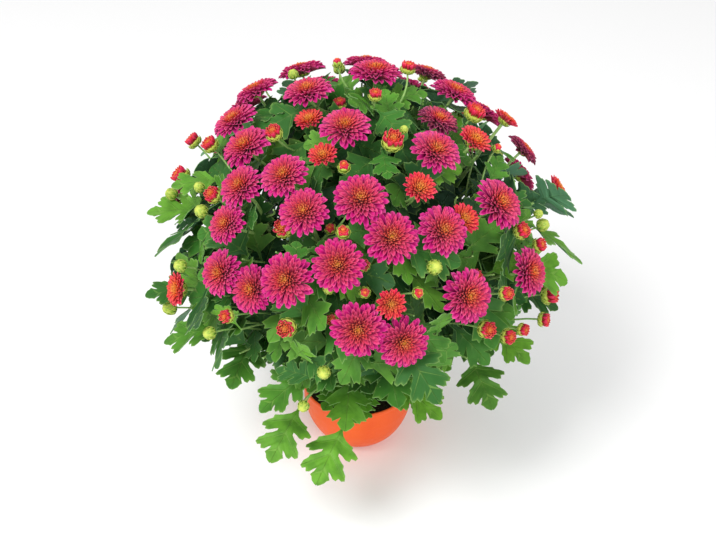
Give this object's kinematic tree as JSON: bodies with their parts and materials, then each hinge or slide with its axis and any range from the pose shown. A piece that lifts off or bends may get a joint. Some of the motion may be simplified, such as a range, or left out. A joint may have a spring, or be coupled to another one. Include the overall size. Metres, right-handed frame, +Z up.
{
  "type": "pot chrysanthemum",
  "caption": "Ball-shaped chrysanthemum with double magenta blooms and lobed leaves, in a small round-sided pot that stands on its flat base.",
  "frame": {"origin": "middle of the pot's flat base, on the surface that it stands on", "axes": "+Z up along the pot's axis, -Y towards the front of the plant, +X to its right as seen from the front"},
  "size_m": [0.3887, 0.3814, 0.4004],
  "materials": {
    "pot_plastic": "smooth terracotta orange, satin",
    "soil": "dark peat with fine crumbs, matt",
    "foliage": "soft green leaves with pale veins",
    "full_petals": "magenta petals, orange-red towards the middle",
    "opening_petals": "red petals with golden tips"
  },
  "bodies": {
    "root": {"pot": "pot_plastic", "soil": "soil", "plant_middle": "foliage", "plant_front": "foliage", "plant_right": "foliage", "plant_back_right": "foliage", "plant_back_left": "foliage", "plant_left": "foliage", "bloom_full_01": "full_petals", "bloom_full_02": "full_petals", "bloom_full_03": "full_petals", "bloom_full_04": "full_petals", "bloom_full_05": "full_petals", "bloom_full_06": "full_petals", "bloom_full_07": "full_petals", "bloom_full_08": "full_petals", "bloom_full_09": "full_petals", "bloom_full_10": "full_petals", "bloom_full_11": "full_petals", "bloom_full_12": "full_petals", "bloom_full_13": "full_petals", "bloom_full_14": "full_petals", "bloom_full_15": "full_petals", "bloom_full_16": "full_petals", "bloom_full_17": "full_petals", "bloom_full_18": "full_petals", "bloom_full_19": "full_petals", "bloom_full_20": "full_petals", "bloom_full_21": "full_petals", "bloom_full_22": "full_petals", "bloom_full_23": "full_petals", "bloom_full_24": "full_petals", "bloom_full_25": "full_petals", "bloom_full_26": "full_petals", "bloom_full_27": "full_petals", "bloom_full_28": "full_petals", "bloom_full_29": "full_petals", "bloom_full_30": "full_petals", "bloom_full_31": "full_petals", "bloom_full_32": "full_petals", "bloom_full_33": "full_petals", "bloom_full_34": "full_petals", "bloom_full_35": "full_petals", "bloom_full_36": "full_petals", "bloom_full_37": "full_petals", "bloom_full_38": "full_petals", "bloom_full_39": "full_petals", "bloom_opening_01": "opening_petals", "bloom_opening_02": "opening_petals", "bloom_opening_03": "opening_petals", "bloom_opening_04": "opening_petals", "bloom_opening_05": "opening_petals", "bloom_opening_06": "opening_petals", "bloom_opening_07": "opening_petals", "bloom_opening_08": "opening_petals", "bloom_opening_09": "opening_petals"}
  },
  "joints": []
}
